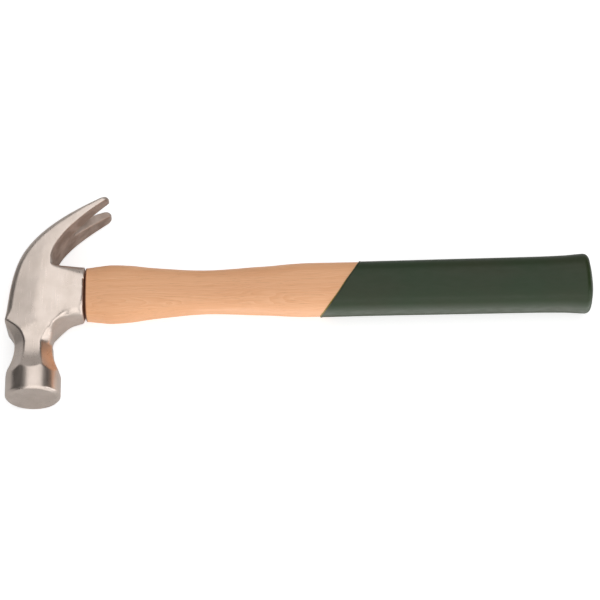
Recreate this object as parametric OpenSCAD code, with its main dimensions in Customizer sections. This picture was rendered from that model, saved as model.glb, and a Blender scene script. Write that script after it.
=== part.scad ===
// Curved-claw hammer with a forged steel head, a wedged hickory handle and a dipped grip.
// The hammer lies on its side: +X runs along the handle to its butt, +Y points to the claw,
// and the symmetry plane of the head is horizontal.

/* [Head] */
// Distance from the socket end back to the axis of the poll and face
poll_setback = 28.8; // [27.5:0.1:31]
// Diameter of the bell that carries the striking face
face_diameter = 31; // [28:0.5:33]
// Distance from the handle axis down to the striking face
face_drop = 64; // [60:1:68]
// Bevel around the striking face
face_bevel = 1.5; // [0.8:0.1:2.5]
// Length of the straight part of the bell, bevel included
bell_length = 16; // [13:0.5:18]
// Width of the octagonal neck across its flats
neck_flats = 21.2; // [19:0.5:23]
// Width of the head across its cheeks
cheek_width = 26.4; // [25:0.2:28]
// Width of the claw across its two tips
claw_tip_width = 29.6; // [26:0.2:30.6]
// Height of the claw tips above the handle axis
claw_rise = 57.8; // [55:0.2:61]
// Reach of the claw tips past the socket end
claw_reach = 11.4; // [9:0.2:16]
// Thickness of the claw at its tips
tip_thickness = 3.6; // [3:0.1:5]
// Width of the nail slot at the tips
slot_width = 13.5; // [11:0.5:15]
// Length of the nail slot, measured back from the tips
slot_length = 34; // [28:1:38]
// Depth of the oval socket from its top to its bottom
socket_depth = 30.6; // [29.5:0.1:32]
// Width of the oval socket from side to side
socket_width = 24.6; // [23.5:0.1:26]

/* [Eye and wedges] */
// Depth of the eye at the socket end
eye_depth = 24.5; // [22:0.5:26]
// Width of the eye at the socket end
eye_width = 17; // [15:0.5:18]
// Growth of the eye towards its outer mouth
eye_flare = 1.5; // [0.5:0.1:2]
// Thickness of the wooden wedge at the mouth of the eye
wood_wedge_thickness = 3.4; // [2.5:0.1:4.5]
// How far the wooden wedge goes into the tenon
wood_wedge_depth = 27; // [20:1:30]
// Thickness of each steel wedge at the mouth of the eye
steel_wedge_thickness = 2.6; // [2:0.1:3.2]
// How far each steel wedge goes into the tenon
steel_wedge_depth = 17; // [12:1:20]
// Width of each steel wedge across the eye
steel_wedge_width = 11; // [9:0.5:12.5]

/* [Handle] */
// Distance from the socket end to the butt of the handle
handle_length = 289; // [270:0.2:305]
// Depth of the swell just in front of the socket
swell_depth = 33.6; // [31:0.2:35]
// Depth of the waist
waist_depth = 24.4; // [22:0.2:27]
// Depth of the straight grip
grip_depth = 30.4; // [28:0.2:33]
// Depth of the flared butt
butt_depth = 33.4; // [31:0.2:35.5]
// Thickness of the handle at the swell
swell_thickness = 22.4; // [20:0.2:23]
// Thickness of the handle at the waist
waist_thickness = 19.4; // [17:0.2:21]
// Thickness of the handle along the grip
grip_thickness = 23.4; // [21:0.2:25]
// Thickness of the handle at the butt
butt_thickness = 24.6; // [22:0.2:26]

/* [Grip coating] */
// Thickness of the dipped coating
coating_thickness = 0.4; // [0.3:0.05:0.8]
// Distance from the socket end to the coating's edge on the handle axis
coating_start = 147.5; // [130:1:170]
// Slant of the coating's edge away from a square cut, in degrees
coating_slant = 35; // [0:1:45]

/* [Hidden] */

round_sides = 96;
curve_steps = 24;
ring_sides = 40;
section_power = 2.8;
socket_power = 3;
cut_margin = 1;
far = 60;

bell_radius = face_diameter / 2;
neck_radius = neck_flats / 2 / cos(22.5);
shoulder_length = 10;
shoulder_bury = 1.2;
neck_top = -17;
cheek_half = cheek_width / 2;
claw_tip_half = claw_tip_width / 2;

// Side outline of the head: the back runs from the poll corner up to the claw tips
back_curve = [[-44.3, -19.9], [-40.2, 18], [-40.9, claw_rise - 25.4], [claw_reach, claw_rise]];
// and the inside of the claw comes back down to the throat
throat = [-18.8, 19.5];
inner_curve = [throat, [-18.2, 29.2], [-6.5, claw_rise - 16.2], [claw_reach + 0.8, claw_rise - 3.6]];
tip_center = [claw_reach + 0.4, claw_rise - 1.8];
tip_angle = 30;
socket_top_curve = [throat, [-16.5, 17.4], [-8, 16], [0, socket_depth / 2]];
neck_corner = [-poll_setback + neck_flats / 2, -33.5];
fillet_curve = [neck_corner, [neck_corner[0], -24], [-15.5, -17.8], [0, -socket_depth / 2]];
poll_edge = -poll_setback - bell_radius;

butt_round = 4;
body_steps = 26;
eye_length = 40;
mouth_x = -41;
wedge_point = 0.6;
socket_root = -19;
socket_rise = 2;
keel_half = 7.6;
corner_cut = 3;
slot_angle = 38;
slot_root = 1.2;
slot_taper = (slot_width - slot_root) / 2 / slot_length;
steel_wedge_spread = 6.2;
steel_wedge_turn = 12;

// The origin sits under the middle of the whole hammer, on the plane it lies on
rest_shift = [
    -(handle_length + coating_thickness + poll_edge) / 2,
    (face_drop - claw_rise) / 2,
    bell_radius
];

// A point on a cubic curve with four control points
function cubic(p, t) =
    pow(1 - t, 3) * p[0] + 3 * pow(1 - t, 2) * t * p[1] + 3 * (1 - t) * t * t * p[2] + pow(t, 3) * p[3];
function cubic_points(p) = [for (i = [0 : curve_steps]) cubic(p, i / curve_steps)];

// A point on a rounded oval whose sides bulge by the given power
function signed_power(v, e) = sign(v) * pow(abs(v), e);
function oval_point(depth, width, power, a) =
    [signed_power(cos(a), 2 / power) * depth / 2, signed_power(sin(a), 2 / power) * width / 2];
function oval(depth, width, power, count) =
    [for (i = [0 : count - 1]) oval_point(depth, width, power, 360 * i / count)];

// Straight blend through a list of [place, value] pairs, eased at both ends of each stretch
function ease(t) = t * t * (3 - 2 * t);
function blend(table, x, i = 0) =
    x <= table[0][0] ? table[0][1] :
    i >= len(table) - 1 ? table[len(table) - 1][1] :
    x <= table[i + 1][0] ?
        table[i][1] + (table[i + 1][1] - table[i][1])
            * ease((x - table[i][0]) / (table[i + 1][0] - table[i][0])) :
    blend(table, x, i + 1);

depth_table = [
    [3, swell_depth - 2.6], [16, swell_depth], [68, waist_depth], [128, grip_depth],
    [255, grip_depth + 1], [handle_length - 6, butt_depth]
];
thickness_table = [
    [3, swell_thickness - 1.4], [16, swell_thickness], [70, waist_thickness], [130, grip_thickness],
    [255, grip_thickness], [handle_length - 6, butt_thickness]
];

// Stations along the handle as [place, inset] pairs, with the inset rounding the butt
handle_stations = concat(
    [for (i = [0 : body_steps]) [(handle_length - butt_round) * i / body_steps, 0]],
    [for (a = [18 : 18 : 90]) [handle_length - butt_round * (1 - sin(a)), butt_round * (1 - cos(a))]]
);
function handle_ring(station, grow) = [
    for (p = oval(
        blend(depth_table, station[0]) - 2 * station[1] + 2 * grow,
        blend(thickness_table, station[0]) - 2 * station[1] + 2 * grow,
        section_power, ring_sides
    )) [station[0] + grow * station[0] / handle_length, p[0], p[1]]
];

// The eye widens from the socket end to its mouth in the back of the head
function eye_ring(x) = [
    for (p = oval(
        eye_depth - eye_flare * x / eye_length,
        eye_width - eye_flare * x / eye_length,
        section_power, ring_sides
    )) [x, p[0], p[1]]
];

// Turns a list of rings, in order along +X, into one closed solid
module skin(rings) {
    sides = len(rings[0]);
    last = len(rings) - 1;
    points = [for (ring = rings) each ring];
    walls = [
        for (r = [0 : last - 1], s = [0 : sides - 1]) [
            r * sides + s,
            (r + 1) * sides + s,
            (r + 1) * sides + (s + 1) % sides,
            r * sides + (s + 1) % sides
        ]
    ];
    start_cap = [for (s = [0 : sides - 1]) s];
    end_cap = [for (s = [0 : sides - 1]) last * sides + sides - 1 - s];
    polyhedron(points, concat(walls, [start_cap, end_cap]), convexity = 4);
}

// A flat shape drawn in the X and Y plane, made this wide around the symmetry plane
module across(width) {
    translate([0, 0, -width / 2]) linear_extrude(width) children();
}

// A flat shape drawn with Y across and Z up, carried along X from start to end
module along_x(start, end) {
    translate([start, 0, 0]) rotate([90, 0, 90]) linear_extrude(end - start) children();
}

// Outline of the head from the side, without the bell
module side_outline() {
    polygon(concat(
        cubic_points(back_curve),
        [for (a = [60 : -30 : -60]) tip_center + tip_thickness / 2 * [cos(tip_angle + a), sin(tip_angle + a)]],
        [for (i = [curve_steps : -1 : 1]) cubic(inner_curve, i / curve_steps)],
        cubic_points(socket_top_curve),
        [for (i = [curve_steps : -1 : 0]) cubic(fillet_curve, i / curve_steps)],
        [[-poll_setback - neck_flats / 2, neck_corner[1]]]
    ));
}

// Outline of the head from the end, narrow at the neck and flared at the claw tips
module end_outline() {
    half = [
        [-neck_flats / 2, neck_corner[1] - cut_margin],
        [-neck_flats / 2 - 0.6, neck_corner[1] + 6],
        [-cheek_half, neck_top - 2],
        [-cheek_half, throat[1]],
        [-cheek_half, claw_rise / 2],
        [-claw_tip_half, claw_rise - 8],
        [-claw_tip_half + corner_cut, claw_rise + cut_margin]
    ];
    polygon(concat(
        [for (p = half) [p[1], p[0]]],
        [for (i = [len(half) - 1 : -1 : 0]) [half[i][1], -half[i][0]]]
    ));
}

module head_body() {
    intersection() {
        across(2 * claw_tip_half) side_outline();
        along_x(-far, far) end_outline();
        union() {
            along_x(-far, socket_root) square(4 * far, center = true);
            along_x(socket_root, 0) socket_section();
            translate([-far, throat[1], -far]) cube(2 * far);
        }
    }
}

// Oval section of the socket, with a keel that the fillet below it runs into
module socket_section() {
    polygon(oval(socket_depth + socket_rise, socket_width, socket_power, round_sides));
    translate([-far, -keel_half]) square([far, 2 * keel_half]);
}

module bell() {
    translate([-poll_setback, 0, 0]) rotate([90, 0, 0]) {
        translate([0, 0, -neck_top]) rotate(22.5)
            cylinder(r = neck_radius, h = face_drop - bell_length + neck_top, $fn = 8);
        rotate_extrude($fn = round_sides) polygon([
            [0, face_drop - bell_length - shoulder_length],
            [neck_flats / 2 - shoulder_bury, face_drop - bell_length - shoulder_length],
            [bell_radius - shoulder_bury, face_drop - bell_length - shoulder_bury],
            [bell_radius, face_drop - bell_length + shoulder_bury],
            [bell_radius, face_drop - face_bevel],
            [bell_radius - face_bevel, face_drop],
            [0, face_drop]
        ]);
    }
}

// The slot that grips a nail: a wedge of space that opens towards the claw tips
module nail_slot() {
    translate([claw_reach, claw_rise, 0]) rotate([90, 0, slot_angle + 180]) translate([0, 0, -far / 2])
        linear_extrude(far) polygon([
            [slot_length, -slot_root / 2],
            [-far / 4, -slot_width / 2 - far / 4 * slot_taper],
            [-far / 4, slot_width / 2 + far / 4 * slot_taper],
            [slot_length, slot_root / 2]
        ]);
}

module eye_space() {
    skin([eye_ring(-far), eye_ring(cut_margin)]);
}

module head() {
    color("#b5aaa3") difference() {
        union() {
            head_body();
            bell();
        }
        eye_space();
        nail_slot();
    }
}

// Everything inside the eye is cut flush with the back of the head
module flush_with_head() {
    intersection() {
        children();
        across(2 * cheek_half) side_outline();
    }
}

module wood_wedge_blank() {
    rotate([90, 0, 0]) across(eye_depth - 1.4) polygon([
        [-far, -wedge_half(wood_wedge_thickness, wood_wedge_depth, -far)],
        [mouth_x + wood_wedge_depth, -wedge_point / 2],
        [mouth_x + wood_wedge_depth, wedge_point / 2],
        [-far, wedge_half(wood_wedge_thickness, wood_wedge_depth, -far)]
    ]);
}

module steel_wedge_blanks() {
    for (side = [-1, 1])
        translate([0, side * steel_wedge_spread, 0]) rotate([steel_wedge_turn, 0, 0])
            across(steel_wedge_width) polygon([
                [-far, -wedge_half(steel_wedge_thickness, steel_wedge_depth, -far)],
                [mouth_x + steel_wedge_depth, -wedge_point / 2],
                [mouth_x + steel_wedge_depth, wedge_point / 2],
                [-far, wedge_half(steel_wedge_thickness, steel_wedge_depth, -far)]
            ]);
}

// Half the thickness of a wedge at a place along X, from a point that is wedge_point thick
function wedge_half(thickness, depth, x) =
    wedge_point / 2 + (thickness - wedge_point) / 2 * (mouth_x + depth - x) / depth;

module handle() {
    color("#dfab80") difference() {
        union() {
            skin([for (station = handle_stations) handle_ring(station, 0)]);
            flush_with_head() skin([eye_ring(-far), eye_ring(0)]);
        }
        wood_wedge_blank();
        steel_wedge_blanks();
    }
}

module grip_coating() {
    color("#3a4633") difference() {
        skin([for (station = handle_stations) handle_ring(station, coating_thickness)]);
        skin([for (station = handle_stations) handle_ring(station, 0)]);
        translate([coating_start, 0, 0]) rotate(-coating_slant)
            translate([-2 * handle_length, -handle_length, -far])
                cube([2 * handle_length, 2 * handle_length, 2 * far]);
    }
}

module wood_wedge() {
    color("#c99667") difference() {
        flush_with_head() wood_wedge_blank();
        steel_wedge_blanks();
    }
}

module steel_wedges() {
    color("#7d7873") flush_with_head() steel_wedge_blanks();
}

module placed() {
    translate(rest_shift) children();
}

placed() head();
placed() handle();
placed() grip_coating();
placed() wood_wedge();
placed() steel_wedges();
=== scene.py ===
import math

import bpy
import numpy as np
from mathutils import Matrix, Vector


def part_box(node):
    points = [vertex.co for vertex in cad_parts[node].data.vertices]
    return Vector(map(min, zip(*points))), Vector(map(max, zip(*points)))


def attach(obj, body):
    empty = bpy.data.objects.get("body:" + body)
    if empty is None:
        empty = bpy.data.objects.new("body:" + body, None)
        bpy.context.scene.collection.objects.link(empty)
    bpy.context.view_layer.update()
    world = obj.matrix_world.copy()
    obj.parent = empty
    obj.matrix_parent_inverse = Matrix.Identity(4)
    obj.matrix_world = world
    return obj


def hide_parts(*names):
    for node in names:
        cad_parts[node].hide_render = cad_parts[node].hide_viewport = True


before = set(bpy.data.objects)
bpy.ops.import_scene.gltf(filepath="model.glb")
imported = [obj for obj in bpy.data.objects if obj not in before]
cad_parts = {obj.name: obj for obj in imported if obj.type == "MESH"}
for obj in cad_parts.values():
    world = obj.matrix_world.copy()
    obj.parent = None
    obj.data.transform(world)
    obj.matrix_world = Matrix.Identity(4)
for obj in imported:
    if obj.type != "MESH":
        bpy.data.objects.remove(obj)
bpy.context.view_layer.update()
print("stage: frame loaded,", len(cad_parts), "nodes")

# Shapes are worked out in millimetres from the middle of the socket's end: X runs along the
# handle, Y from the striking face to the claw, Z up from the plane of symmetry.
mm = 0.001
headLow, headHigh = (np.array(corner, dtype=float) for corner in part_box("head"))

headShape = {
    "faceRadius": 15.49,     # half of the bell
    "pollSetback": 28.8,     # socket's end back to the middle of the poll
    "bellAxis": -28.4,       # axis of the neck, bell and face
    "faceY": -64.0,
    "faceBevel": 1.5,
    "neckHalf": 10.6,        # half of the octagon across its flats
    "neckWaist": -33.0,      # height of the neck's narrowest place
    "bellFlare": 64.0,       # the smaller, the faster the neck's faces curve out to the bell
    "cheekFlare": 50.0,      # and to the cheeks
    "cheekHalf": 13.2,
    "backSlope": 0.11,       # how the cheek falls away from its ridge to the back
    "socketSlope": 0.036,    # and to the socket's end
    "tipHalf": 14.8,
    "tipCorner": 4.5,
    "tipPoint": (11.4, 57.8),
    "clawAngle": 38.0,
    "slotHalf": 6.7,         # half of the nail slot at the tips
    "slotLength": 26.0,
    "slotBevel": 0.4,        # how much the slot opens towards the inside of the claw
    "eyeDepth": 12.25, "eyeWidth": 8.5, "eyeFlare": 0.019, "eyePower": 2.8,
    "step": 0.5,             # spacing of the points that the surface is found on
}
origin = np.array([
    headLow[0] + (15.5 + headShape["pollSetback"]) * mm,
    headLow[1] - headShape["faceY"] * mm,
    (headLow[2] + headHigh[2]) / 2,
])


def place(points):
    # millimetres from the socket's end, to metres in the frame
    return np.asarray(points, dtype=float) * mm + origin


def ease(t):
    t = np.clip(t, 0, 1)
    return t * t * (3 - 2 * t)


def smoothMax(a, b, width):
    # the larger of two fields, rounded where they are closer than width
    near = np.maximum(width - np.abs(a - b), 0) / width
    return np.maximum(a, b) + near * near * width / 4


def smoothMin(a, b, width):
    return -smoothMax(-a, -b, width)


def bezier(points, count=160):
    # cubic curve through its first and last point
    t = np.linspace(0, 1, count)[:, None]
    a, b, c, d = np.array(points, dtype=float)
    return (1 - t) ** 3 * a + 3 * (1 - t) ** 2 * t * b + 3 * (1 - t) * t * t * c + t ** 3 * d


def meshObject(name, points, faces):
    mesh = bpy.data.meshes.new(name)
    mesh.from_pydata(place(points).tolist(), [], np.asarray(faces).tolist())
    mesh.polygons.foreach_set("use_smooth", np.ones(len(mesh.polygons), dtype=bool))
    mesh.update()
    piece = bpy.data.objects.new(name, mesh)
    bpy.context.collection.objects.link(piece)
    return piece


# the head's outline from the side, as curves that follow one another
backCurve = bezier([(-44.3, -19.9), (-40.2, 18), (-40.9, 32.4), (11.4, 57.8)])
tipAngles = np.radians(np.linspace(90, -30, 20))[:, None]
tipCurve = np.array([11.8, 56.0]) + 1.8 * np.hstack([np.cos(tipAngles), np.sin(tipAngles)])
innerCurve = bezier([(12.2, 54.2), (-6.5, 41.6), (-18.2, 29.2), (-18.8, 19.5)])
socketTop = bezier([(-18.8, 19.5), (-16.5, 17.4), (-8, 16), (0, 15.3)])
filletCurve = bezier([(0, -16.9), (-16.8, -17.3), (-17.8, -24), (-17.8, -33.5)])
pollCurve = bezier([(-39.0, -34), (-39.0, -27), (-43, -24.5), (-44.3, -19.9)])
neckEnds = np.array([(-17.8, -60.0), (-39.0, -60.0)])
headOutline = np.vstack([backCurve, tipCurve, innerCurve, socketTop, filletCurve, neckEnds, pollCurve])


def lineDistance(points, line, closed=False):
    # distance from every point to the nearest stretch of a line
    start = line if closed else line[:-1]
    end = np.roll(line, -1, axis=0) if closed else line[1:]
    along = end - start
    size = np.maximum((along ** 2).sum(1), 1e-12)
    best = np.empty(len(points))
    for first in range(0, len(points), 4000):
        gap = points[first:first + 4000, None, :] - start
        t = np.clip((gap * along).sum(2) / size, 0, 1)
        gap -= t[:, :, None] * along
        best[first:first + 4000] = np.sqrt((gap ** 2).sum(2).min(1))
    return best


def insideLine(points, line):
    # even or odd number of crossings of a ray along X
    start, end = line, np.roll(line, -1, axis=0)
    inside = np.empty(len(points), dtype=bool)
    for first in range(0, len(points), 4000):
        x, y = points[first:first + 4000, 0:1], points[first:first + 4000, 1:2]
        spans = (start[:, 1] > y) != (end[:, 1] > y)
        rise = np.where(end[:, 1] == start[:, 1], 1e-9, end[:, 1] - start[:, 1])
        cross = start[:, 0] + (y - start[:, 1]) * (end[:, 0] - start[:, 0]) / rise
        inside[first:first + 4000] = ((spans & (x < cross)).sum(1) % 2) == 1
    return inside


tableLow, tableStep = np.array([-47.0, -62.0]), 0.4
tableSize = np.array([156, 312])
tableGrid = np.stack(np.meshgrid(*[np.arange(n) for n in tableSize], indexing="ij"), -1).reshape(-1, 2)
tablePoints = tableLow + tableStep * tableGrid
outlineGap = lineDistance(tablePoints, headOutline, closed=True)
outlineTable = np.where(insideLine(tablePoints, headOutline), -outlineGap, outlineGap).reshape(tableSize)
backTable = lineDistance(tablePoints, backCurve).reshape(tableSize)
innerTable = lineDistance(tablePoints, innerCurve).reshape(tableSize)


def lookUp(table, x, y):
    # a smooth value between the table's points: a cubic blend of the nearest four each way
    u = np.clip((x - tableLow[0]) / tableStep, 1, tableSize[0] - 3)
    v = np.clip((y - tableLow[1]) / tableStep, 1, tableSize[1] - 3)
    i, j = u.astype(int), v.astype(int)
    weights = []
    for t in (u - i, v - j):
        weights.append((
            -0.5 * t + t * t - 0.5 * t ** 3, 1 - 2.5 * t * t + 1.5 * t ** 3,
            0.5 * t + 2 * t * t - 1.5 * t ** 3, -0.5 * t * t + 0.5 * t ** 3,
        ))
    return sum(
        weights[0][a] * weights[1][b] * table[i + a - 1, j + b - 1] for a in range(4) for b in range(4)
    )


def socketOval(x, y, height):
    # rounded oval of the socket: fuller below, where the fillet runs into it, and squarer
    # towards the throat
    back = np.maximum(-x, 0)
    below = y < 0
    deep = np.maximum(back - 5, 0) ** 3 / 70
    depth = np.where(below, 17.0 + 0.31 * back + deep, 14.95 + 0.04 * np.maximum(back - 12, 0) ** 2)
    width = 12.4 + 0.1 * back + np.where(below, 0.05 * deep, 0)
    power = np.where(below, 2.05 + 0.04 * back, 3.2 + 1.8 * ease(back / 18))
    rise = (np.abs(y) / depth) ** power + (height / width) ** power
    return (np.maximum(rise, 1e-9) ** (1 / power) - 1) * 12.5


def headField(x, y, z):
    # negative inside the head: the side outline, cheeks, facets, oval, octagon and bell are
    # each a field, and the larger of them all is the solid
    s = headShape
    height = np.abs(z)
    fromAxis = x - s["bellAxis"]
    above = np.maximum(y - s["neckWaist"], 0)
    drop = np.maximum(s["neckWaist"] - y, 0)
    neck = s["neckHalf"] + drop ** 2 / s["bellFlare"]

    side = lookUp(outlineTable, x, y)
    fromBack = lookUp(backTable, x, y)
    fromInner = lookUp(innerTable, x, y)
    onNeck = y < s["neckWaist"]
    side = np.where(onNeck, np.abs(fromAxis) - neck, side)

    ridge = -25.3 + 0.074 * y
    widest = s["cheekHalf"] + (s["tipHalf"] - s["cheekHalf"]) * ease((y - 26) / 28)
    ridgeGap = 0.72 * (fromBack + fromInner)
    lowBack = widest + s["backSlope"] * (x - ridge) - 0.006 * np.maximum(-14 - y, 0) ** 2
    highBack = widest - s["backSlope"] * (ridgeGap - fromBack)
    mix = ease(y / 16)
    back = lowBack * (1 - mix) + highBack * mix
    front = widest - s["socketSlope"] * (x - ridge) * (1 - mix)
    cheek = smoothMin(back, front, 0.3)
    flare = s["neckHalf"] + above ** 2 / s["cheekFlare"]
    cheek = np.where(onNeck, neck, smoothMin(cheek, flare, 0.25))
    flank = height - cheek
    # the outer corners of the claw's tips are rounded off
    angle = math.radians(s["clawAngle"])
    tipX, tipY = s["tipPoint"]
    along = (x - tipX) * math.cos(angle) + (y - tipY) * math.sin(angle)
    down = (x - tipX) * math.sin(angle) - (y - tipY) * math.cos(angle)
    cornerX = np.maximum(along + s["tipCorner"] - 0.8, 0)
    cornerZ = np.maximum(flank + s["tipCorner"], 0)
    corner = np.hypot(cornerX, cornerZ) - s["tipCorner"]
    flank = np.where((y > 40) & (along > -s["tipCorner"]), corner, flank)

    # the edge is softer along the back of the head than anywhere else
    softness = 0.6 + 3.0 * ease((fromInner - fromBack) / 5 + 0.4) * ease((y + 22) / 10)
    field = smoothMax(side, flank, softness)

    oval = socketOval(x, y, height)
    socket = np.where(y < 8, oval, smoothMin(smoothMin(x + 18.7, oval, 0.8), 19.5 - y, 0.6))
    socket = np.where(onNeck | (x < -24), -40, socket)
    flankHere = smoothMax(flank, socket, 2.5)
    cut = 0.586 * neck * np.exp(-above ** 2 / (above + 3) / 8) * ease((2 - x) / 9)
    cut = cut * ease((17 - above) / 10)
    rise = cut * (1 + 0.4 * ease(above / 8))
    cut, rise = np.maximum(cut, 0.05), np.maximum(rise, 0.05)
    fillet = (side / cut + flankHere / rise + 1) * cut * rise / np.sqrt(cut ** 2 + rise ** 2)
    fillet = np.where((fromAxis > 0) & (y < 5), fillet, -40)
    field = smoothMax(field, fillet, 0.7 + 1.6 * ease((above - 5) / 8))
    pollCut = neck + 0.16 * above ** 2 / (above + 2) + above ** 2 / 30
    field = smoothMax(field, (-fromAxis + height) / math.sqrt(2) - pollCut, 0.5)
    field = smoothMax(field, socket, np.where(y < 0, 2.4, 0.7))

    radius = np.hypot(fromAxis, z)
    bell = smoothMax(radius - s["faceRadius"], s["faceY"] - y, 0.2)
    rim = (radius - y - s["faceRadius"] + s["faceY"] + s["faceBevel"]) / math.sqrt(2)
    bell = smoothMax(bell, rim, 0.35)
    field = np.where(onNeck, smoothMax(field, bell, 0.6), field)

    # the slot between the two tips: a wedge of space that opens towards them, and towards the
    # inside of the claw
    reach = 1 + along / s["slotLength"]
    wedge = s["slotHalf"] * np.sign(reach) * np.abs(reach) ** 0.7 + s["slotBevel"] * np.clip(down - 1.8, -3, 3)
    slot = np.where(y > 20, height - wedge, 5)
    field = smoothMax(field, -slot, 0.6)

    eye = (
        (np.abs(y) / (s["eyeDepth"] - s["eyeFlare"] * x)) ** s["eyePower"]
        + (height / (s["eyeWidth"] - s["eyeFlare"] * x)) ** s["eyePower"]
    )
    eye = (np.maximum(eye, 1e-9) ** (1 / s["eyePower"]) - 1) * s["eyeWidth"]
    return smoothMax(field, -eye, 0.5)


def fieldSlope(points):
    # the field and its slope at each point, from small steps each way
    h = 0.04
    x, y, z = points.T
    slope = np.stack([
        headField(x + h, y, z) - headField(x - h, y, z),
        headField(x, y + h, z) - headField(x, y - h, z),
        headField(x, y, z + h) - headField(x, y, z - h),
    ], 1) / (2 * h)
    return headField(x, y, z), slope


def surfaceOf(field, low, step):
    # one point in each grid cell that the surface passes through, at the mean of its crossings,
    # and one four-sided face round each grid edge that it crosses
    inside = field < 0
    corners = [(a, b, c) for a in (0, 1) for b in (0, 1) for c in (0, 1)]
    nx, ny, nz = (n - 1 for n in field.shape)
    count = sum(inside[a:a + nx, b:b + ny, c:c + nz].astype(int) for a, b, c in corners)
    cells = np.argwhere((count > 0) & (count < 8))
    number = np.full((nx, ny, nz), -1)
    number[tuple(cells.T)] = np.arange(len(cells))
    values = np.stack([field[tuple((cells + corner).T)] for corner in corners], 1)
    total, hits = np.zeros((len(cells), 3)), np.zeros(len(cells))
    for p, first in enumerate(corners):
        for q, second in enumerate(corners):
            if q <= p or sum(abs(m - n) for m, n in zip(first, second)) != 1:
                continue
            a, b = values[:, p], values[:, q]
            crossed = (a < 0) != (b < 0)
            t = np.where(crossed, a / np.where(a == b, 1, a - b), 0)
            spot = np.array(first) + t[:, None] * (np.array(second) - np.array(first))
            total += np.where(crossed[:, None], spot, 0)
            hits += crossed
    points = low + step * (cells + total / hits[:, None])
    faces = []
    for axis in range(3):
        b, c = (axis + 1) % 3, (axis + 2) % 3
        ahead = np.roll(inside, -1, axis)
        edges = np.argwhere(inside != ahead)
        size = np.array(field.shape)
        edges = edges[(edges[:, axis] < size[axis] - 1) & (edges[:, b] > 0) & (edges[:, c] > 0)
                      & (edges[:, b] < size[b] - 1) & (edges[:, c] < size[c] - 1)]
        unitB, unitC = np.eye(3, dtype=int)[b], np.eye(3, dtype=int)[c]
        quad = np.stack([number[tuple((edges - shift).T)] for shift in
                         (unitB + unitC, unitC, 0 * unitB, unitB)], 1)
        outwards = inside[tuple(edges.T)]
        faces.append(np.where(outwards[:, None], quad, quad[:, ::-1]))
    return points, np.vstack(faces)


def relax(points, faces, rounds):
    # each point moves to the mean of its neighbours, then straight back onto the surface
    pairs = np.vstack([faces[:, [a, (a + 1) % 4]] for a in range(4)])
    pairs = np.vstack([pairs, pairs[:, ::-1]])
    near = np.bincount(pairs[:, 0], minlength=len(points))
    for turn in range(rounds):
        if turn < rounds - 2:
            points = np.stack([
                np.bincount(pairs[:, 0], weights=points[pairs[:, 1], k], minlength=len(points)) / near
                for k in range(3)
            ], 1) * 0.6 + points * 0.4
        value, slope = fieldSlope(points)
        points = points - np.clip(value, -0.5, 0.5)[:, None] * slope / np.maximum((slope ** 2).sum(1), 0.2)[:, None]
    return points, slope


def makeHead():
    low = np.array([-45.5, -65.2, -16.6])
    step = headShape["step"]
    counts = np.ceil((np.array([14.8, 59.2, 16.6]) - low) / step).astype(int)
    x, y, z = (low[k] + step * np.arange(counts[k]) for k in range(3))
    field = np.concatenate([
        headField(*np.broadcast_arrays(part[:, None, None], y[None, :, None], z[None, None, :]))
        for part in np.array_split(x, 12)
    ])
    points, faces = surfaceOf(field, low, step)
    points, slope = relax(points, faces, 6)
    piece = meshObject("forgedHead", points, faces)
    # how much of the dark forging scale is left: on the inside of the claw and in its slot
    facing = slope / np.linalg.norm(slope, axis=1)[:, None]
    inside = ease((1.5 - lookUp(innerTable, points[:, 0], points[:, 1])) / 0.8) * ease((0.75 - np.abs(facing[:, 2])) / 0.2)
    along = (points[:, 0] - 11.4) * 0.788 + (points[:, 1] - 57.8) * 0.616
    inSlot = ((points[:, 1] > 34) & (np.abs(points[:, 2]) < 9) & (np.abs(facing[:, 2]) > 0.35) & (along > -30)
              & (np.abs(points[:, 2]) < 12.0 + 0.1 * along))
    scale = np.clip(np.maximum(inside, inSlot * 0.85), 0, 1)
    piece.data.attributes.new("forgingScale", "FLOAT", "POINT").data.foreach_set("value", scale.astype(np.float32))
    return piece


head = makeHead()
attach(head, "root")
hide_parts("head")
print("stage: head,", len(head.data.polygons), "faces")


# the wooden handle: half depths and half thicknesses at places along it
handleShape = {
    "depth": [(-60, 13.4), (0, 12.25), (0.4, 15.2), (1.5, 15.3), (8, 16.1), (15, 16.8), (25, 16.3), (37, 14.7), (48, 13.6),
              (60, 12.55), (70, 12.2), (83, 12.6), (94, 13.25), (106, 13.8), (117, 14.7), (128, 15.1),
              (160, 14.95), (203, 15.15), (255, 15.4), (272, 15.7), (284, 16.6), (290, 16.9)],
    "thickness": [(0.4, 10.6), (1.5, 10.6), (8, 11.0), (18, 11.2), (45, 10.2), (70, 9.7), (100, 10.9), (128, 11.6),
                  (200, 11.7), (255, 11.7), (284, 12.3), (290, 12.3)],
    "power": 2.8,
    "shoulder": 0.45,        # gap between the socket's end and the shoulder of the wood
    "shoulderRound": 0.6,
    "end": 288.9,            # middle of the butt
    "crown": 1.6,            # how far its corner lies behind its middle
    "buttRound": 3.6,
    "tenonDepth": 12.2, "tenonWidth": 8.45, "tenonFlare": 0.019,
    "sides": 120,
    "coatThickness": 0.32,
    "coatStart": 144.5,      # edge of the coating on the handle's axis
    "coatSlant": 0.676,      # how far the edge moves along for each millimetre across
    "coatLean": 0.306,       # and for each millimetre up
    "beadHeight": 0.22,
    "beadWidth": 1.5,
}


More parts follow.
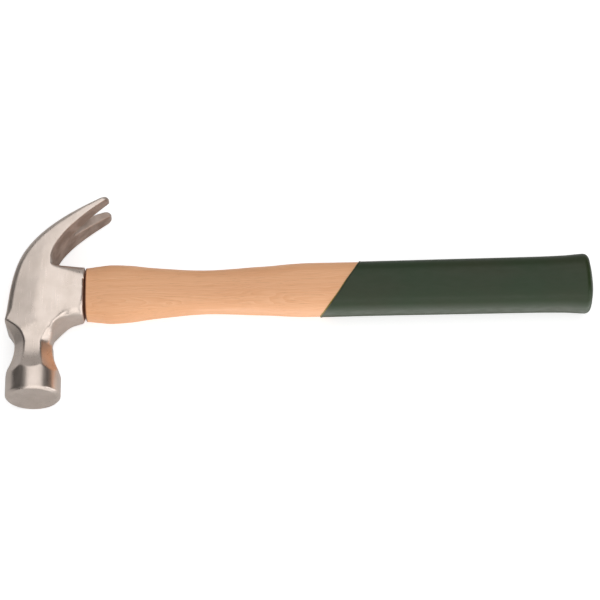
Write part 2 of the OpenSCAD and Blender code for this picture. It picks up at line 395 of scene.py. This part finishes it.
def curveThrough(table, x):
    # smooth curve through a list of places and values, with flat-sided cubic stretches
    places, values = np.array(table, dtype=float).T
    slopes = np.diff(values) / np.diff(places)
    inner = np.where(slopes[:-1] * slopes[1:] > 0, 2 * slopes[:-1] * slopes[1:]
                     / np.where(slopes[:-1] + slopes[1:] == 0, 1, slopes[:-1] + slopes[1:]), 0)
    tangent = np.concatenate([[slopes[0]], inner, [slopes[-1]]])
    x = np.clip(x, places[0], places[-1])
    i = np.clip(np.searchsorted(places, x, side="right") - 1, 0, len(places) - 2)
    width = places[i + 1] - places[i]
    t = (x - places[i]) / width
    return (
        (1 + 2 * t) * (1 - t) ** 2 * values[i] + t * (1 - t) ** 2 * width * tangent[i]
        + t * t * (3 - 2 * t) * values[i + 1] + t * t * (t - 1) * width * tangent[i + 1]
    )


def ovalRing(angle, power):
    # rounded oval of unit size, spaced by angle
    c, s = np.cos(angle), np.sin(angle)
    size = (np.abs(c) ** power + np.abs(s) ** power) ** (-1 / power)
    return c * size, s * size


def ringAngles(count):
    return np.linspace(0, 2 * math.pi, count, endpoint=False)


def gridFaces(rows, sides, closed=True):
    # four-sided faces between neighbouring rings, facing outwards for rings in order along X
    r, s = np.meshgrid(np.arange(rows - 1), np.arange(sides), indexing="ij")
    ahead = (s + 1) % sides
    return np.stack([r * sides + ahead, (r + 1) * sides + ahead, (r + 1) * sides + s, r * sides + s], -1).reshape(-1, 4)


def capFaces(first, sides, flip):
    # a ring closed by one face
    ring = np.arange(first, first + sides)
    return ring if flip else ring[::-1]


def handleGrid(x, grow=0.0):
    # the handle's rounded oval section carried along X, grown outwards by a coating
    h = handleShape
    angle = ringAngles(h["sides"])
    c, s = ovalRing(angle, h["power"])
    depth = curveThrough(h["depth"], x) + grow
    width = curveThrough(h["thickness"], x) + grow
    return depth * c, width * s


def buttProfile(rows):
    # along the butt from its straight side to its middle: the share of the section that is left,
    # and the place along X
    h = handleShape
    t = np.linspace(0, 1, rows)
    corner = np.clip(t / 0.55, 0, 1) * math.pi / 2
    share = 1 - (h["buttRound"] / 16.0) * (1 - np.cos(corner))
    rest = np.clip((t - 0.55) / 0.45, 0, 1)
    share = share * (1 - rest) ** 1.0
    cornerX = h["end"] - h["crown"] - h["buttRound"] * (1 - np.sin(corner))
    flat = 1 - h["buttRound"] / 16.0
    return share, cornerX + h["crown"] * (1 - (share / flat) ** 2) * (rest > 0)


def backAt(y):
    # place along X of the back of the head at a height
    order = np.argsort(backCurve[:, 1])
    return np.interp(y, backCurve[order, 1], backCurve[order, 0])


def makeHandle():
    h = handleShape
    c, s = ovalRing(ringAngles(h["sides"]), h["power"])
    rings = []
    # end grain, level with the back of the head, from its middle outwards
    for share in np.concatenate([[0.02], np.linspace(0.08, 0.98, 14)]):
        y, z = c * share * (h["tenonDepth"] + 0.75), s * share * (h["tenonWidth"] + 0.75)
        rings.append(np.stack([backAt(y) + 0.15, y, z], 1))
    for x in np.linspace(0.03, 1, 12):
        y, z = c * (h["tenonDepth"] + 0.75 * (1 - x)), s * (h["tenonWidth"] + 0.75 * (1 - x))
        start = backAt(y) + 0.4
        rings.append(np.stack([start + (h["shoulder"] - start) * x, y, z], 1))
    # the shoulder, rounded over into the swell
    y1, z1 = handleGrid(np.array([[h["shoulder"] + h["shoulderRound"]]]))
    for t in np.linspace(0.15, 1, 8):
        turn = t * math.pi / 2
        inset = h["shoulderRound"] * (1 - math.sin(turn))
        x = h["shoulder"] + h["shoulderRound"] * (1 - math.cos(turn))
        depth, width = handleGrid(np.array([[x]]), -inset)
        rings.append(np.stack([np.full(h["sides"], x), depth[0], width[0]], 1))
    stations = np.concatenate([
        np.linspace(h["shoulder"] + h["shoulderRound"] + 1, 150, 110),
        np.linspace(152, h["end"] - h["crown"] - h["buttRound"], 60),
    ])
    depth, width = handleGrid(stations[:, None])
    for x, y, z in zip(stations, depth, width):
        rings.append(np.stack([np.full(h["sides"], x), y, z], 1))
    share, place = buttProfile(22)
    for left, x in zip(share[1:-1], place[1:-1]):
        y, z = handleGrid(np.array([[x]]))
        rings.append(np.stack([np.full(h["sides"], x), y[0] * left, z[0] * left], 1))
    points = np.vstack(rings)
    faces = gridFaces(len(rings), h["sides"]).tolist()
    faces.append(capFaces(0, h["sides"], False).tolist())
    faces.append(capFaces((len(rings) - 1) * h["sides"], h["sides"], True).tolist())
    mesh = bpy.data.meshes.new("hickoryHandle")
    mesh.from_pydata(place3(points), [], faces)
    mesh.polygons.foreach_set("use_smooth", np.ones(len(mesh.polygons), dtype=bool))
    piece = bpy.data.objects.new("hickoryHandle", mesh)
    bpy.context.collection.objects.link(piece)
    return piece


def place3(points):
    return (np.asarray(points) * mm + origin).tolist()


def makeCoating():
    # the dipped enamel: the handle's surface grown by its thickness, from a slanted beaded edge to
    # the butt, with the same surface a hair above the wood as its inside
    h = handleShape
    angle = ringAngles(h["sides"])
    c, s = ovalRing(angle, h["power"])
    edge = h["coatStart"] + h["coatSlant"] * 15.0 * c + h["coatLean"] * 11.6 * s
    edge = edge + 0.12 * np.sin(3 * angle + 1) + 0.08 * np.sin(7 * angle)
    endX = h["end"] - h["crown"] - h["buttRound"]
    along = np.concatenate([np.linspace(0, 1, 26) ** 1.3 * 4.0, np.linspace(5, endX - 136, 110)])
    reach = along / along[-1]
    x = edge + (endX - edge) * reach[:, None] * 1.0
    near = np.minimum(along, 6)[:, None]
    thick = h["coatThickness"] * (1 - np.exp(-near / 0.25)) + h["beadHeight"] * (
        np.exp(-((near - 0.75) / 0.5) ** 2))
    thick[0] = 0.03
    outer = [np.stack([row, *pair], 1) for row, pair in
             ((x[k], ((curveThrough(h["depth"], x[k]) + thick[k]) * c, (curveThrough(h["thickness"], x[k]) + thick[k]) * s))
              for k in range(len(x)))]
    inner = [np.stack([x[k], (curveThrough(h["depth"], x[k]) + 0.015) * c,
                       (curveThrough(h["thickness"], x[k]) + 0.015) * s], 1) for k in range(len(x))]
    share, place = buttProfile(26)
    for left, spot in zip(share[1:-1], place[1:-1]):
        y, z = handleGrid(np.array([[spot]]), h["coatThickness"])
        outer.append(np.stack([np.full(h["sides"], spot + h["coatThickness"] * (1 - left) ** 0.3), y[0] * left, z[0] * left], 1))
        y, z = handleGrid(np.array([[spot]]), 0.015)
        inner.append(np.stack([np.full(h["sides"], spot + 0.015), y[0] * left, z[0] * left], 1))
    rows = inner[::-1] + outer
    points = np.vstack(rows)
    faces = gridFaces(len(rows), h["sides"]).tolist()
    faces.append(capFaces(0, h["sides"], False).tolist())
    faces.append(capFaces((len(rows) - 1) * h["sides"], h["sides"], True).tolist())
    mesh = bpy.data.meshes.new("gripCoating")
    mesh.from_pydata(place3(points), [], faces)
    mesh.polygons.foreach_set("use_smooth", np.ones(len(mesh.polygons), dtype=bool))
    fromEdge = np.concatenate([np.full(len(inner), 9.0), along, np.full(len(outer) - len(along), 9.0)])
    mesh.attributes.new("fromDipEdge", "FLOAT", "POINT").data.foreach_set(
        "value", np.repeat(fromEdge, h["sides"]).astype(np.float32))
    piece = bpy.data.objects.new("gripCoating", mesh)
    bpy.context.collection.objects.link(piece)
    return piece


handle = makeHandle()
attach(handle, "root")
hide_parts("handle")
coating = makeCoating()
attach(coating, "root")
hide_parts("grip_coating")
print("stage: handle and coating")


def linear(colour):
    # an sRGB hex value as the linear colour that a shader takes
    parts = [int(colour[k:k + 2], 16) / 255 for k in (1, 3, 5)]
    return tuple(c / 12.92 if c <= 0.04045 else ((c + 0.055) / 1.055) ** 2.4 for c in parts) + (1.0,)


def addNode(material, kind, settings=None, links=None):
    # a node with its settings, by property or socket name, and the outputs linked to its sockets
    node = material.node_tree.nodes.new(kind)
    for name, value in (settings or {}).items():
        if isinstance(name, str) and hasattr(node, name):
            setattr(node, name, value)
        else:
            node.inputs[name].default_value = value
    for name, source in (links or {}).items():
        material.node_tree.links.new(source, node.inputs[name])
    return node


def startMaterial(name):
    material = bpy.data.materials.new(name)
    material.use_nodes = True
    material.node_tree.nodes.clear()
    return material


def endMaterial(material, shader):
    addNode(material, "ShaderNodeOutputMaterial", links={"Surface": shader.outputs["BSDF"]})
    return material


steelLook = {
    "ground": "#e2d4ca",     # belt-ground faces
    "shade": "#d2c4b9",      # where the belt has passed less
    "scale": "#ac988c",      # forging scale left inside the claw
    "scaleLight": "#cbbaaf",
    "lineSpacing": 0.6,      # belt lines, drawn coarser than the real quarter of a millimetre
    "lineLength": 14.0,
    "cloudSize": 9.0,
}


def objectPattern(material, sizes):
    # Object coordinates divided by a size in millimetres each way
    place = addNode(material, "ShaderNodeTexCoord")
    scale = [1 / (size * mm) for size in sizes]
    return addNode(material, "ShaderNodeMapping", {"Scale": scale}, {"Vector": place.outputs["Object"]})


def noiseOf(material, sizes, detail=3.0, roughness=0.55, distortion=0.0):
    pattern = objectPattern(material, sizes)
    return addNode(material, "ShaderNodeTexNoise",
                   {"Scale": 1.0, "Detail": detail, "Roughness": roughness, "Distortion": distortion},
                   {"Vector": pattern.outputs["Vector"]})


def spread(material, source, low, high, first=0.35, last=0.65):
    # a pattern's values between first and last, spread from low to high
    return addNode(material, "ShaderNodeMapRange",
                   {"From Min": first, "From Max": last, "To Min": low, "To Max": high},
                   {"Value": source}).outputs["Result"]


def mixColour(material, share, first, second):
    # two colours, or two outputs, mixed by a share
    node = addNode(material, "ShaderNodeMix", {"data_type": "RGBA"})
    for socket, value in ((node.inputs[6], first), (node.inputs[7], second)):
        if isinstance(value, str):
            socket.default_value = linear(value)
        else:
            material.node_tree.links.new(value, socket)
    if isinstance(share, float):
        node.inputs[0].default_value = share
    else:
        material.node_tree.links.new(share, node.inputs[0])
    return node.outputs[2]


def forgedSteel():
    # drop-forged steel ground on a belt: bright satin faces with fine lines along Y, and the dark
    # dull skin of the forging left where the belt can't reach
    look = steelLook
    material = startMaterial("beltGroundForgedSteel")
    lines = noiseOf(material, (look["lineSpacing"], look["lineLength"], look["lineSpacing"]), 4.0, 0.6)
    clouds = noiseOf(material, (look["cloudSize"],) * 3, 3.0, 0.5)
    specks = noiseOf(material, (1.1,) * 3, 2.0, 0.5)
    scale = addNode(material, "ShaderNodeAttribute", {"attribute_name": "forgingScale"}).outputs["Fac"]
    ground = mixColour(material, spread(material, clouds.outputs["Fac"], 0.0, 0.7), look["ground"], look["shade"])
    ground = mixColour(material, spread(material, specks.outputs["Fac"], 0.0, 0.2, 0.7, 0.8), ground, "#8c7d72")
    skin = mixColour(material, spread(material, clouds.outputs["Fac"], 0.0, 1.0, 0.4, 0.62),
                     look["scale"], look["scaleLight"])
    colour = mixColour(material, scale, ground, skin)
    groundRough = spread(material, lines.outputs["Fac"], 0.27, 0.36)
    rough = addNode(material, "ShaderNodeMapRange", {"From Min": 0.0, "From Max": 1.0, "To Max": 0.55},
                    {"Value": scale, "To Min": groundRough})
    height = addNode(material, "ShaderNodeMath", {"operation": "MULTIPLY_ADD", 1: 0.35},
                     {0: specks.outputs["Fac"], 2: lines.outputs["Fac"]})
    bump = addNode(material, "ShaderNodeBump", {"Strength": 0.2, "Distance": 0.006 * mm},
                   {"Height": height.outputs["Value"]})
    shader = addNode(material, "ShaderNodeBsdfPrincipled", {"Metallic": 1.0}, {
        "Base Color": colour, "Roughness": rough.outputs["Result"], "Normal": bump.outputs["Normal"]})
    return endMaterial(material, shader)


woodLook = {
    "pale": "#f7bd8e",       # early wood
    "warm": "#e8a26e",       # late wood
    "pore": "#b87a4e",
    "jointShadowAndGlue": "#7a4a30",      # painted shadow and glue where the handle meets the socket
    "ringSpacing": 2.6,
    "poreWidth": 0.35,       # hickory's open pores are 0.2 wide; drawn as wide as they need to show
    "poreLength": 16.0,
}


def hickory(name, pale, warm, ringSpacing):
    # ring-porous hickory under a thin satin lacquer: warm bands along the handle where the growth
    # rings are cut, crossed by short dark pore lines
    look = woodLook
    material = startMaterial(name)
    pattern = objectPattern(material, (60.0, 1.0, 1.0))
    waver = noiseOf(material, (38.0, 7.0, 7.0), 2.0, 0.5)
    shifted = addNode(material, "ShaderNodeVectorMath", {"operation": "MULTIPLY_ADD", 1: (0.0, 5.0, 7.0)},
                      {0: waver.outputs["Color"], 2: pattern.outputs["Vector"]})
    centred = addNode(material, "ShaderNodeVectorMath", {"operation": "ADD", 1: (0.0, 9.0, -38.0)},
                      {0: shifted.outputs["Vector"]})
    rings = addNode(material, "ShaderNodeTexWave",
                    {"wave_type": "RINGS", "rings_direction": "X", "wave_profile": "SAW",
                     "Scale": 1 / (ringSpacing * 20 / (2 * math.pi)) * math.pi / 1.0, "Distortion": 1.2, "Detail": 2.0,
                     "Detail Scale": 0.6},
                    {"Vector": centred.outputs["Vector"]})
    pores = noiseOf(material, (look["poreLength"], look["poreWidth"], look["poreWidth"]), 3.0, 0.6)
    fibres = noiseOf(material, (45.0, 1.6, 1.6), 4.0, 0.65)
    tone = noiseOf(material, (70.0, 12.0, 12.0), 2.0, 0.5)
    colour = mixColour(material, spread(material, rings.outputs["Fac"], 0.0, 0.6, 0.1, 1.0), pale, warm)
    colour = mixColour(material, spread(material, fibres.outputs["Fac"], 0.0, 0.55, 0.45, 0.75), colour, warm)
    colour = mixColour(material, spread(material, tone.outputs["Fac"], 0.0, 0.35), colour, "#eeac7a")
    colour = mixColour(material, spread(material, pores.outputs["Fac"], 0.0, 0.55, 0.58, 0.75), colour, look["pore"])
    spot = addNode(material, "ShaderNodeSeparateXYZ", {},
                   {"Vector": addNode(material, "ShaderNodeTexCoord").outputs["Object"]})
    # painted shadow with glue: the wood is darkened from inside the socket to just past its end, where handle and head
    # meet
    jointX = float(origin[0]) + 0.8 * mm
    jointShadowAndGlue = addNode(material, "ShaderNodeMapRange",
                    {"From Min": jointX, "From Max": jointX + 0.6 * mm, "To Min": 1.0, "To Max": 0.0},
                    {"Value": spot.outputs["X"]}).outputs["Result"]
    inside = addNode(material, "ShaderNodeMapRange",
                     {"From Min": jointX - 30 * mm, "From Max": jointX - 29 * mm, "To Min": 0.0, "To Max": 1.0},
                     {"Value": spot.outputs["X"]}).outputs["Result"]
    jointShadowAndGlue = addNode(material, "ShaderNodeMath", {"operation": "MULTIPLY"}, {0: jointShadowAndGlue, 1: inside}).outputs["Value"]
    colour = mixColour(material, jointShadowAndGlue, colour, look["jointShadowAndGlue"])
    bump = addNode(material, "ShaderNodeBump", {"Strength": 0.3, "Distance": 0.04 * mm, "invert": True},
                   {"Height": pores.outputs["Fac"]})
    shader = addNode(material, "ShaderNodeBsdfPrincipled",
                     {"IOR": 1.5, "Coat Weight": 0.25, "Coat Roughness": 0.22, "Coat IOR": 1.5},
                     {"Base Color": colour, "Roughness": spread(material, fibres.outputs["Fac"], 0.42, 0.55),
                      "Normal": bump.outputs["Normal"]})
    return endMaterial(material, shader)


enamelLook = {
    "green": "#213519",
    "thin": "#2b331a",       # where the coat is thinner and the wood warms it
    "bead": "#10180c",       # thick rim that the dip leaves
    "seep": "#94853f",       # stain that creeps out of the rim into the wood
    "cloudSize": 24.0,
    "peelSize": 2.2,         # gentle waves that a dipped coat dries with
}


def dippedEnamel():
    # thick gloss enamel put on by dipping: even dark green with a soft sheen and slow waves
    look = enamelLook
    material = startMaterial("dippedGreenEnamel")
    clouds = noiseOf(material, (look["cloudSize"] * 2, look["cloudSize"], look["cloudSize"]), 3.0, 0.5)
    peel = noiseOf(material, (look["peelSize"] * 2.5, look["peelSize"], look["peelSize"]), 2.0, 0.5)
    grain = noiseOf(material, (30.0, 0.9, 0.9), 3.0, 0.6)
    colour = mixColour(material, spread(material, clouds.outputs["Fac"], 0.0, 0.8), look["green"], look["thin"])
    fromEdge = addNode(material, "ShaderNodeAttribute", {"attribute_name": "fromDipEdge"}).outputs["Fac"]
    colour = mixColour(material, spread(material, fromEdge, 0.7, 0.0, 0.9, 2.2), colour, look["bead"])
    colour = mixColour(material, spread(material, fromEdge, 1.0, 0.0, 0.25, 0.85), colour, look["seep"])
    height = addNode(material, "ShaderNodeMath", {"operation": "MULTIPLY_ADD", 1: 0.5},
                     {0: grain.outputs["Fac"], 2: peel.outputs["Fac"]})
    bump = addNode(material, "ShaderNodeBump", {"Strength": 0.25, "Distance": 0.05 * mm},
                   {"Height": height.outputs["Value"]})
    shader = addNode(material, "ShaderNodeBsdfPrincipled",
                     {"IOR": 1.5, "Specular IOR Level": 0.38},
                     {"Base Color": colour, "Roughness": spread(material, peel.outputs["Fac"], 0.3, 0.42),
                      "Normal": bump.outputs["Normal"]})
    return endMaterial(material, shader)


def wedgeSteel():
    # mild steel wedges with a dark rolled skin, mottled lighter and darker at random
    material = startMaterial("rolledWedgeSteel")
    mottle = noiseOf(material, (1.5,) * 3, 4.0, 0.6)
    colour = mixColour(material, spread(material, mottle.outputs["Fac"], 0.0, 1.0), "#8b837b", "#5c544d")
    shader = addNode(material, "ShaderNodeBsdfPrincipled", {"Metallic": 1.0}, {
        "Base Color": colour, "Roughness": spread(material, mottle.outputs["Fac"], 0.35, 0.5)})
    return endMaterial(material, shader)


def dress(piece, material):
    piece.data.materials.clear()
    piece.data.materials.append(material)


dress(head, forgedSteel())
dress(handle, hickory("lacqueredHickory", woodLook["pale"], woodLook["warm"], woodLook["ringSpacing"]))
dress(coating, dippedEnamel())
dress(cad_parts["wood_wedge"], hickory("wedgeWood", "#d9a674", "#b98050", 1.4))
dress(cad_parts["steel_wedges"], wedgeSteel())
print("stage: materials")

viewShape = {
    "elevation": 63.5,
    "azimuth": -1.5,
    "distance": 1280.0,
    "lens": 135.0,
    "aim": (122.0, -6.22, 0.0),
}


def makeCamera():
    side, lift = math.radians(viewShape["azimuth"]), math.radians(viewShape["elevation"])
    back = Vector((math.sin(side) * math.cos(lift), -math.cos(side) * math.cos(lift), math.sin(lift)))
    right = Vector((math.cos(side), math.sin(side), 0.0))
    turn = Matrix((right, back.cross(right), back)).transposed()
    data = bpy.data.cameras.new("camera")
    data.lens, data.sensor_width, data.clip_end = viewShape["lens"], 36.0, 20.0
    camera = bpy.data.objects.new("camera", data)
    spot = Vector(place(viewShape["aim"])) + back * viewShape["distance"] * mm
    camera.matrix_world = Matrix.Translation(spot) @ turn.to_4x4()
    bpy.context.collection.objects.link(camera)
    bpy.context.scene.camera = camera


lightShape = {
    "floorSize": 6.0,
    "floorColour": "#d4d4d4",
    "floorGlow": 0.66,
    "mirroredFloor": "#d6d6d6",   # what the polished steel sees of the paper, which is less lit there
    "mirroredGlow": 0.05,
    "reflector": ((-0.06, -1.2), (0.5, -0.016)),   # bright paper in front of the grip, seen only in its gloss
    "reflectorGlow": 1.2,
    "worldColour": "#ffffff",
    "worldStrength": 0.07,
    # where each soft light stands and aims, its size, and how bright its face is
    "cards": {
        "overheadSoftbox": ((0.18, 0.05, 1.3), (0.18, 0.05, 0.0), (1.76, 3.0), 1.1),
        "rightCard": ((1.5, -0.5, 0.55), (0.0, 0.0, 0.0), (1.0, 1.0), 1.7),
        "backCard": ((-0.4, 1.9, 0.6), (0.1, 0.0, 0.0), (3.2, 1.2), 0.36),
        "frontCard": ((0.3, -1.7, 0.82), (0.1, 0.0, 0.1), (2.4, 1.5), 1.25),
    },
}


def makeArea(name, spot, target, size, power, colour="#ffffff"):
    data = bpy.data.lights.new(name, "AREA")
    data.shape = "RECTANGLE"
    data.size, data.size_y = size
    data.energy = power
    data.color = linear(colour)[:3]
    light = bpy.data.objects.new(name, data)
    spot, target = Vector(spot), Vector(target)
    light.matrix_world = Matrix.Translation(spot) @ (spot - target).to_track_quat("Z", "Y").to_matrix().to_4x4()
    light.visible_camera = False
    bpy.context.collection.objects.link(light)


def makeFloor(name, low, high, z, colour, glow):
    mesh = bpy.data.meshes.new(name)
    corners = [(low[0], low[1], z), (high[0], low[1], z), (high[0], high[1], z), (low[0], high[1], z)]
    mesh.from_pydata(corners, [], [(0, 1, 2, 3)])
    floor = bpy.data.objects.new(name, mesh)
    bpy.context.collection.objects.link(floor)
    material = startMaterial(name)
    shader = addNode(material, "ShaderNodeBsdfPrincipled", {
        "Base Color": linear(colour), "Roughness": 0.9, "Specular IOR Level": 0.0,
        "Emission Color": linear("#ffffff"), "Emission Strength": glow})
    dress(floor, endMaterial(material, shader))
    return floor


def makeStage():
    look = lightShape
    bottom, half = float(headLow[2]), look["floorSize"] / 2
    low, high = (-half, -half), (half, half)
    floor = makeFloor("paperFloor", low, high, bottom - 0.05 * mm, look["floorColour"], look["floorGlow"])
    floor.visible_glossy = False
    mirrored = [makeFloor("mirroredFloor", low, high, bottom, look["mirroredFloor"], look["mirroredGlow"]),
                makeFloor("gripReflector", *look["reflector"], bottom + 0.05 * mm, look["mirroredFloor"],
                          look["reflectorGlow"])]
    for paper in mirrored:
        paper.visible_camera = paper.visible_diffuse = paper.visible_shadow = False
    world = bpy.data.worlds.new("studio")
    bpy.context.scene.world = world
    world.use_nodes = True
    background = world.node_tree.nodes["Background"]
    background.inputs["Color"].default_value = linear(lightShape["worldColour"])
    background.inputs["Strength"].default_value = lightShape["worldStrength"]
    bpy.context.scene.view_settings.view_transform = "Standard"
    for name, (spot, aim, size, glow) in lightShape["cards"].items():
        makeArea(name, spot, aim, size, glow * math.pi * size[0] * size[1])


makeCamera()
makeStage()
print("stage: camera, floor and light")
